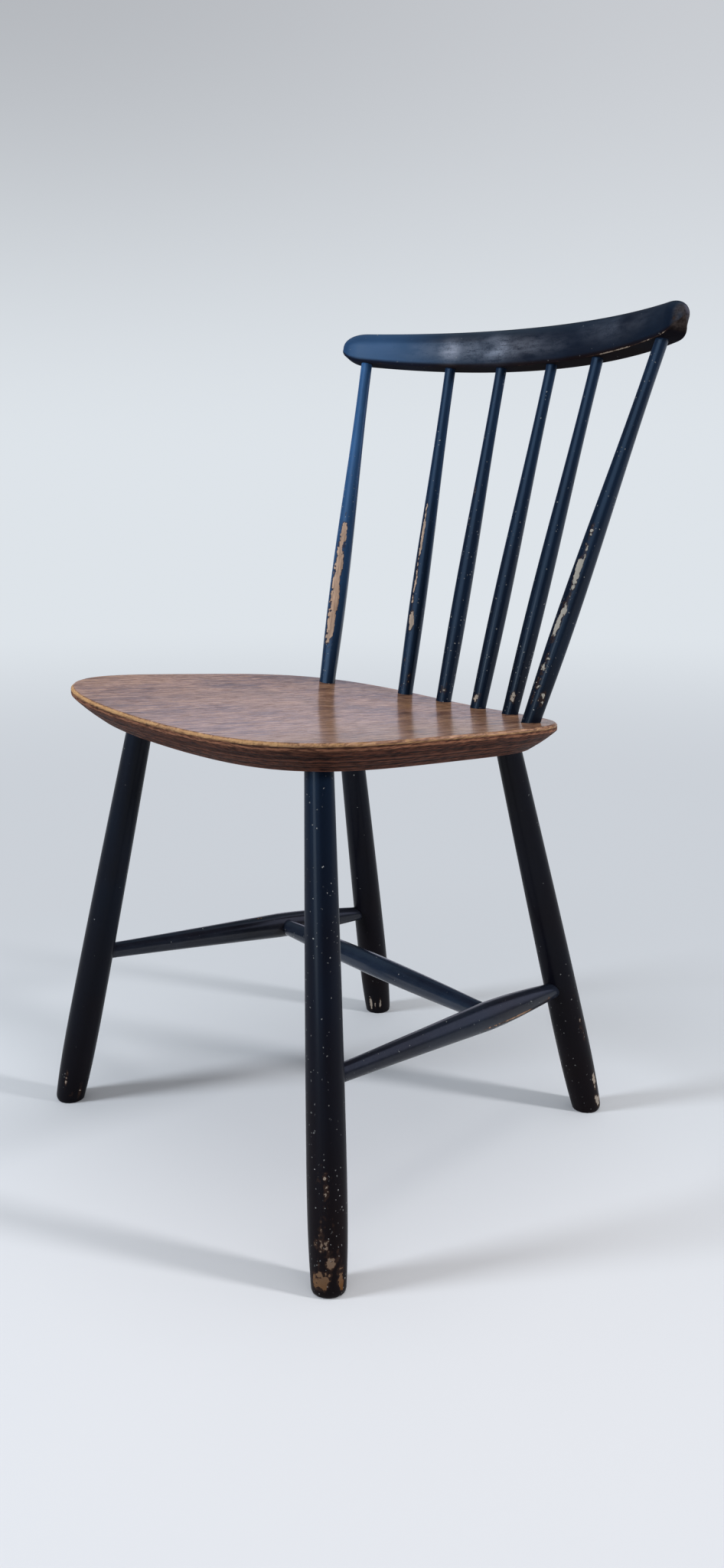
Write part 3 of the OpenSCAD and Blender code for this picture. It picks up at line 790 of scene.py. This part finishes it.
def railBare(t, x, z, share, frontFace, towardTip, ragged):
    # Worn field: the largest of the rubbed lower front edge, the spot worn to the
    # wood low on the right tip's front, the dulled right tip, and the left tip
    low, high = railWear["edgeRubbed"]
    onEdge = bell(z / railWear["edgeUp"], (x - railWear["edgeAt"]) / railWear["edgeAcross"])
    rubbed = 0.35 + 0.75 * eased(t, low - 0.2, low) * (1 - eased(t, high, high + 0.05))
    edge = -1.5 + onEdge * (0.62 + rubbed) + 0.55 * ragged
    middle, half, height, spread = railWear["spot"]
    spot = bell((t - middle) / half, (share - height) / spread) * frontFace
    rightSpot = -1.35 + 1.35 * spot + 0.45 * ragged
    rightTip = -1.85 + 0.75 * towardTip + 0.75 * ragged
    leftTip = -1.5 + 0.9 * eased(-t, *railWear["leftTip"]) + 0.6 * ragged
    return np.maximum(np.maximum(edge, rightSpot), np.maximum(rightTip, leftTip))


def railScuffAndSheen(t, share, frontFace, towardTip, place, ragged):
    # Largest of the scuffs and painted highlight patches on the front face, broken up by noise,
    # and the right tip's
    scuff = np.zeros_like(frontFace * t)
    for middle, half, height, spread, level in railWear["scuffsAndSheen"]:
        scuff = np.maximum(scuff, level * bell((t - middle) / half, (share - height) / spread))
    drawnOut = place * np.array([1, 1, railWear["scuffDrawn"]])
    broken = eased(layeredNoise(drawnOut, railWear["scuffSize"], railWear["seed"] * 10 + 21, 3),
                   -0.8, 0.2)
    tipScuff = railWear["tipScuff"] * towardTip * eased(ragged, -0.9, 0.5)
    return np.maximum(scuff * frontFace * broken, tipScuff)


def buildRail(material):
    # Ring t of the rail: its section, scaled to the height and thickness that
    # the tips leave, carried to the angle reach * t / radius
    steps = np.arange(1, rail["rings"])
    t = np.sin(np.pi / 2 * (2 * steps / rail["rings"] - 1))[:, None]
    x, z, stretch = railSection(rail["around"])
    s = rail["reach"] * (1 - np.abs(t))
    tall = rail["middleTall"] - (rail["middleTall"] - rail["tipTall"]) * t ** 2
    z = z + (tall - rail["middleTall"]) * stretch
    up = (rail["rise"] * t ** 2 + tall / 2
          + (z - tall / 2) * tipShare(s, rail["tip"], rail["tallFullness"]))
    out = x * tipShare(s, rail["thick"], rail["thickFullness"]) * rail["thick"] / 2
    a = rail["reach"] * t / rail["radius"] + 0 * out
    ideal = railPoint(a, out, up)

    place = np.stack([out, up, a * rail["radius"]], -1) + railWear["seed"] * railWear["apart"]
    ragged = chipNoise(place, railWear, railWear["seed"] * 10)
    share = z / tall
    frontFace = eased(-x, *railWear["front"])
    towardTip = eased(t, *railWear["rightTip"])
    bare = railBare(t, x, z, share, frontFace, towardTip, ragged)
    # scuff: real scuffs together with painted highlight on the front face
    scuff = railScuffAndSheen(t, share, frontFace, towardTip, place, ragged)

    # sink the surface by the inset, and by the lacquer's thickness where it is worn
    inward = np.stack([x * np.ones_like(t), (share - 0.5) * 2], -1)
    inward /= np.maximum(np.linalg.norm(inward, axis=-1, keepdims=True), 0.3)
    recess = rail["inset"] + eased(bare, *barSkin["rim"]) * barSkin["lacquerThick"]
    spoke = (inward[..., :1] * (np.cos(a)[..., None] * railBackward
                                + np.sin(a)[..., None] * railAcross)
             + inward[..., 1:] * railUpward)
    points = ideal - spoke * recess[..., None]
    under = eased(railWear["under"] - z, 0.0, railWear["underSoft"])
    cloud = layeredNoise(place, railWear["cloudSize"], railWear["seed"] * 10 + 31, 2)
    warm = (railWear["warm"] + railWear["warmUnder"] * under + railWear["warmTip"] * towardTip
            + railWear["warmCloud"] * cloud)
    fields = dict(place=place, bare=bare, warm=np.clip(warm, 0, 1), fleck=railWear["fleck"],
                  scuff=scuff, grey=railWear["grey"],
                  shine=between(railWear["shine"], eased(t, *railWear["shineFades"]))
                  * (1 - under),
                  navy=between(railWear["navy"], eased(t, *railWear["navyFades"])),
                  matt=under)
    tip = rail["reach"] / rail["radius"]
    height = rail["rise"] + rail["tipTall"] / 2
    poles = (railPoint(-tip, 0, height), railPoint(tip, 0, height))
    return buildPiece("crest_rail", points, poles, fields, material,
                      flipped=True)


spindles = dict(
    # inner, middle and outer
    baseX=(0.025, 0.076, 0.147), topX=(0.034, 0.099, 0.196),
    baseWide=(0.0162, 0.0162, 0.0174), bellyWide=(0.0176, 0.0176, 0.0199),
    topWide=(0.0112, 0.0112, 0.012), belly=0.25, rowInset=0.0115, rowSweep=0.059,
    baseSocket=0.009, topSocket=0.018, rings=340, baseRings=19, topRings=11,
    shared=dict(around=56, warm=(0.12, 0.0), fleck=(0.52, 0.06), scuff=0),
)
kinds = {"inner": 0, "middle": 1, "outer": 2}
spindleWear = {
    # pairs: at the seat and at the rail; patches as on the legs
    "spindle_outer_left": dict(
        # navy rises far higher here than on the other spindles: partly painted light, where the
        # window's light falls on this spindle
        seed=21, ragged=1.4, shine=(0.95, 1.0), navy=(0.12, 0.85), grey=(0.5, 0.5),
        patches=((0.09, 0.53, -60, 27, 0.58), (0.02, 0.60, -80, 26, -0.2),
                 (0.0, 0.10, -70, 40, -0.5), (0.20, 0.55, 110, 22, -0.35))),
    "spindle_middle_left": dict(
        seed=22, ragged=1.3, shine=(0.35, 0.9), navy=(0.09, 0.14), grey=(0.6, 0.8),
        patches=((0.06, 0.68, -84, 14, 0.25), (0.19, 0.27, -76, 22, 0.5),
                 (0.0, 0.07, -60, 45, -0.1), (0.0, 0.12, 100, 30, -0.5))),
    "spindle_inner_left": dict(
        seed=23, ragged=1.3, shine=(0.25, 0.85), navy=(0.045, 0.11), grey=(0.9, 0.9),
        patches=((0.0, 0.06, -60, 45, -0.4), (0.4, 0.75, -95, 12, -0.6),
                 (0.45, 0.7, 95, 18, -0.55))),
    "spindle_inner_right": dict(
        seed=24, ragged=1.3, shine=(0.2, 0.8), navy=(0.03, 0.1), grey=(0.9, 0.9),
        patches=((0.0, 0.07, -70, 45, -0.4), (0.3, 0.55, -60, 10, -0.7),
                 (0.1, 0.35, 85, 20, -0.5))),
    "spindle_middle_right": dict(
        seed=25, ragged=1.3, shine=(0.15, 0.75), navy=(0.015, 0.095), grey=(0.9, 0.9),
        patches=((0.0, 0.09, -65, 45, -0.45), (0.25, 0.5, 100, 20, -0.5))),
    "spindle_outer_right": dict(
        seed=26, ragged=1.5, shine=(0.12, 0.75), navy=(0.015, 0.095), grey=(1.6, 1.3),
        patches=((0.02, 0.24, -80, 26, 0.1), (0.18, 0.34, -82, 24, 0.3),
                 (0.28, 0.54, -80, 22, 0.1), (0.0, 0.12, -50, 60, -0.45),
                 (0.10, 0.45, 80, 24, -0.3))),
}


def buildSpindle(name, material):
    # Radius: a sine from the base to the belly, then a cosine down to the rail
    kind = kinds[name.split("_")[1]]
    side = 1 if name.endswith("right") else -1
    x = spindles["baseX"][kind]
    y = (seat["depth"] / 2 - seat["forward"] - spindles["rowInset"]
         - spindles["rowSweep"] * (x / spindles["baseX"][2]) ** 3)
    low = np.array([side * x, y, seatTop(x, y)])
    a = math.asin(spindles["topX"][kind] / (rail["radius"] - rail["spindleForward"]))
    high = railPoint(side * a, -rail["spindleForward"], 0)
    foot, head = spindles["baseSocket"], spindles["topSocket"]
    start, end = towards(low, high, -foot), towards(high, low, -head)
    length = np.linalg.norm(end - start)
    first, last = 2 * foot, length - 2 * head
    base, belly, top = (spindles[key][kind] for key in ("baseWide", "bellyWide", "topWide"))
    t = np.linspace(0, 1, spindles["rings"])
    place = spindles["belly"]
    rising = base + (belly - base) * np.sin(np.clip(t / place, 0, 1) * np.pi / 2)
    down = np.clip((t - place) / (1 - place), 0, 1)
    falling = belly - (belly - top) * (1 - np.cos(np.pi * down)) / 2
    lowEnd = np.linspace(0, first, spindles["baseRings"] + 1)[:-1]
    highEnd = np.linspace(last, length, spindles["topRings"] + 1)[1:]
    radii = np.concatenate([np.full(len(lowEnd), base), np.where(t < place, rising, falling),
                            np.full(len(highEnd), top)]) / 2
    stations = np.concatenate([lowEnd, first + (last - first) * t, highEnd])
    wear = dict(spindleWear[name], span=(foot, length - head), **spindles["shared"])
    return buildBar(name, start, end, (1, 0, 0), stations, radii, wear, material)


# Shift that puts the middle of the box, from the seat's front to the rail's rear, at y 0
railRear = (rail["back"] + (rail["middleTall"] - rail["crown"]) * math.sin(leaning)
            + math.hypot(math.cos(leaning) * rail["thick"] / 2,
                         math.sin(leaning) * rail["crown"]))
centring = np.array([0, -(seatFront + railRear) / 2, 0])

print("finishes")
navyLacquer = makeLacquer()
teak = makeVeneer()
print("seat")
buildSeat(teak)
print("legs")
for name, side, front in (("front_leg_left", -1, True), ("front_leg_right", 1, True),
                          ("rear_leg_left", -1, False), ("rear_leg_right", 1, False)):
    buildLeg(name, side, front, navyLacquer)
print("stretchers")
buildStretchers(navyLacquer)
print("spindles")
for name in spindleWear:
    buildSpindle(name, navyLacquer)
print("crest rail")
buildRail(navyLacquer)

ground = dict(
    radius=40.0, firstRing=0.05, rings=40, around=96, drop=0.0002,
    # colour near the middle, then a darker one further out: painted shade, the light's falloff
    # away from the chair
    colour=(0.71, 0.705, 0.72), behind=(0.62, 0.635, 0.66), far=(0.60, 0.635, 0.685),
    # distances from the middle over which each change of colour takes place
    middle=(0.3, -0.3, 0.0), darkens=(0.1, 0.8), fades=(0.55, 1.25), lightens=(1.8, 4.4),
)
backdrop = dict(
    low=(0.73, 0.775, 0.82), highLeft=(0.45, 0.467, 0.497), highRight=(0.58, 0.60, 0.635),
    rise=0.34, rightWay=(0.665, 0.747, 0.0), turn=0.3,
    # soft light on everything, from the horizon to overhead
    litLow=(0.425, 0.445, 0.475), litHigh=(0.28, 0.30, 0.32),
)
reflected = dict(
    # what glossy surfaces mirror: way it lies in, cosines at its rim and where
    # it is full, colour; each covers the ones before it
    wall=((-0.80, 0.60, 0.03), 0.93, 1.0, (0.92, 0.93, 1.18)),
    ceiling=((0.0, 0.0, 1.0), 0.45, 0.80, (0.20, 0.29, 0.40)),
    skylight=((0.35, 0.70, 0.62), 0.80, 0.97, (1.05, 1.15, 1.65)),
    window=((0.14, -0.985, 0.10), 0.68, 0.95, (0.80, 1.30, 2.0)),
    pane=((0.14, -0.985, 0.10), 0.975, 0.995, (5.5, 7.0, 8.6)),
)
roomColour = (0.06, 0.075, 0.10)


def buildFloor():
    # Disc of rings: radius grows by even ratios, so that the middle is finer
    rings, around = ground["rings"], ground["around"]
    radii = np.geomspace(ground["firstRing"], ground["radius"], rings)[:, None]
    a = np.linspace(0, 2 * np.pi, around, endpoint=False)[None, :]
    points = np.stack([radii * np.cos(a), radii * np.sin(a), 0 * radii * a], -1)
    corners = np.concatenate([points.reshape(-1, 3), [[0, 0, 0]]]) - [0, 0, ground["drop"]]
    walls, here, after = ringFaces(rings, around)
    fan = np.stack([np.full(around, rings * around), here, after], -1)
    mesh = bpy.data.meshes.new("floor")
    mesh.from_pydata(corners.tolist(), [], walls[:, ::-1].tolist() + fan.tolist())
    cloth = Finish(bpy.data.materials.new("floor"))
    place = cloth.node("ShaderNodeTexCoord", {}, {}, "Object")
    distance = cloth.node("ShaderNodeVectorMath", {"operation": "DISTANCE"},
                          {0: place, 1: ground["middle"]}, "Value")
    # painted shade: the floor darkens away from the middle
    colour = cloth.mixed(cloth.eased(distance, *ground["darkens"]),
                         ground["colour"], ground["behind"])
    far = cloth.mixed(cloth.eased(distance, *ground["lightens"]), ground["far"], backdrop["low"])
    # far out it passes into the backdrop, for the camera and for mirror rays only
    shown = (cloth.eased(distance, *ground["fades"])
             * (cloth.ray("Is Camera Ray") + cloth.ray("Is Glossy Ray")))
    matt = cloth.node("ShaderNodeBsdfDiffuse", {}, {"Color": colour})
    glow = cloth.node("ShaderNodeEmission", {}, {"Color": far})
    surface = cloth.node("ShaderNodeMixShader", {}, {0: shown, 1: matt, 2: glow})
    cloth.node("ShaderNodeOutputMaterial", {}, {"Surface": surface})
    mesh.materials.append(cloth.owner)
    floor = bpy.data.objects.new("floor", mesh)
    bpy.context.scene.collection.objects.link(floor)


def buildWorld():
    # The camera sees a backdrop that darkens upwards, mirror rays a dark room with
    # a few bright places, and every other ray soft light
    world = bpy.data.worlds.new("studio")
    bpy.context.scene.world = world
    sky = Finish(world)
    way = sky.node("ShaderNodeTexCoord", {}, {}, "Generated")
    height = sky.node("ShaderNodeSeparateXYZ", {}, {"Vector": way}, "Z")
    toRight = sky.eased(sky.along(way, backdrop["rightWay"]),
                        -backdrop["turn"], backdrop["turn"])
    high = sky.mixed(toRight, backdrop["highLeft"], backdrop["highRight"])
    seen = sky.mixed(sky.eased(height, 0.0, backdrop["rise"]), backdrop["low"], high)
    room = roomColour
    for lies, rim, full, colour in reflected.values():
        room = sky.mixed(sky.eased(sky.along(way, lies), rim, full), room, colour)
    toCamera, mirrored = sky.ray("Is Camera Ray"), sky.ray("Is Glossy Ray")
    seen = sky.mixed(mirrored, seen, room)
    soft = sky.mixed(sky.eased(height, 0.0, 1.0), backdrop["litLow"], backdrop["litHigh"])
    lit = sky.node("ShaderNodeBackground", {}, {"Color": soft, "Strength": 1.0})
    shown = sky.node("ShaderNodeBackground", {}, {"Color": seen, "Strength": 1.0})
    surface = sky.node("ShaderNodeMixShader", {}, {0: toCamera + mirrored, 1: lit, 2: shown})
    sky.node("ShaderNodeOutputWorld", {}, {"Surface": surface})


lamps = dict(
    # place, target, size, power in watts, colour
    window=((-1.15, -2.45, 1.1), (0, 0, 0.30), 0.7, 76, (0.86, 0.93, 1.0)),
    ceiling=((0.2, -0.1, 3.0), (0, 0, 0.0), 1.8, 19, (1.0, 0.98, 0.95)),
    fill=((2.3, 1.2, 1.05), (0, 0, 0.3), 0.34, 58, (0.97, 0.98, 1.0)),
)


def buildLamps():
    for name, (place, target, size, power, colour) in lamps.items():
        light = bpy.data.lights.new(name, "AREA")
        light.shape = "DISK"
        light.size = size
        light.energy = power
        light.color = colour
        lamp = bpy.data.objects.new(name, light)
        lamp.location = place
        lamp.visible_glossy = False
        ray = Vector(target) - Vector(place)
        lamp.rotation_euler = ray.to_track_quat("-Z", "Y").to_euler()
        bpy.context.scene.collection.objects.link(lamp)


view = dict(place=(0.8956, -0.79833, 0.65525), turn=48.348, down=14.3815, roll=0.173,
            focal=1633.92, imageTall=2048, sensorTall=24.0, nearest=0.01, farthest=200)


def buildCamera():
    turn, down, roll = (math.radians(view[key]) for key in ("turn", "down", "roll"))
    back = Vector((math.sin(turn) * math.cos(down), -math.cos(turn) * math.cos(down),
                   math.sin(down)))
    right = Vector((math.cos(turn), math.sin(turn), 0))
    up = back.cross(right)
    tiltedRight = right * math.cos(roll) + up * math.sin(roll)
    tiltedUp = up * math.cos(roll) - right * math.sin(roll)
    lens = bpy.data.cameras.new("camera")
    lens.sensor_fit = "VERTICAL"
    lens.sensor_height = view["sensorTall"]
    lens.lens = view["sensorTall"] * view["focal"] / view["imageTall"]
    lens.clip_start = view["nearest"]
    lens.clip_end = view["farthest"]
    camera = bpy.data.objects.new("camera", lens)
    columns = Matrix((tiltedRight, tiltedUp, back)).transposed().to_4x4()
    camera.matrix_world = Matrix.Translation(Vector(view["place"])) @ columns
    bpy.context.scene.collection.objects.link(camera)
    bpy.context.scene.camera = camera


print("studio")
buildFloor()
buildWorld()
buildLamps()
buildCamera()
bpy.context.scene.view_settings.view_transform = "Standard"

print("done")
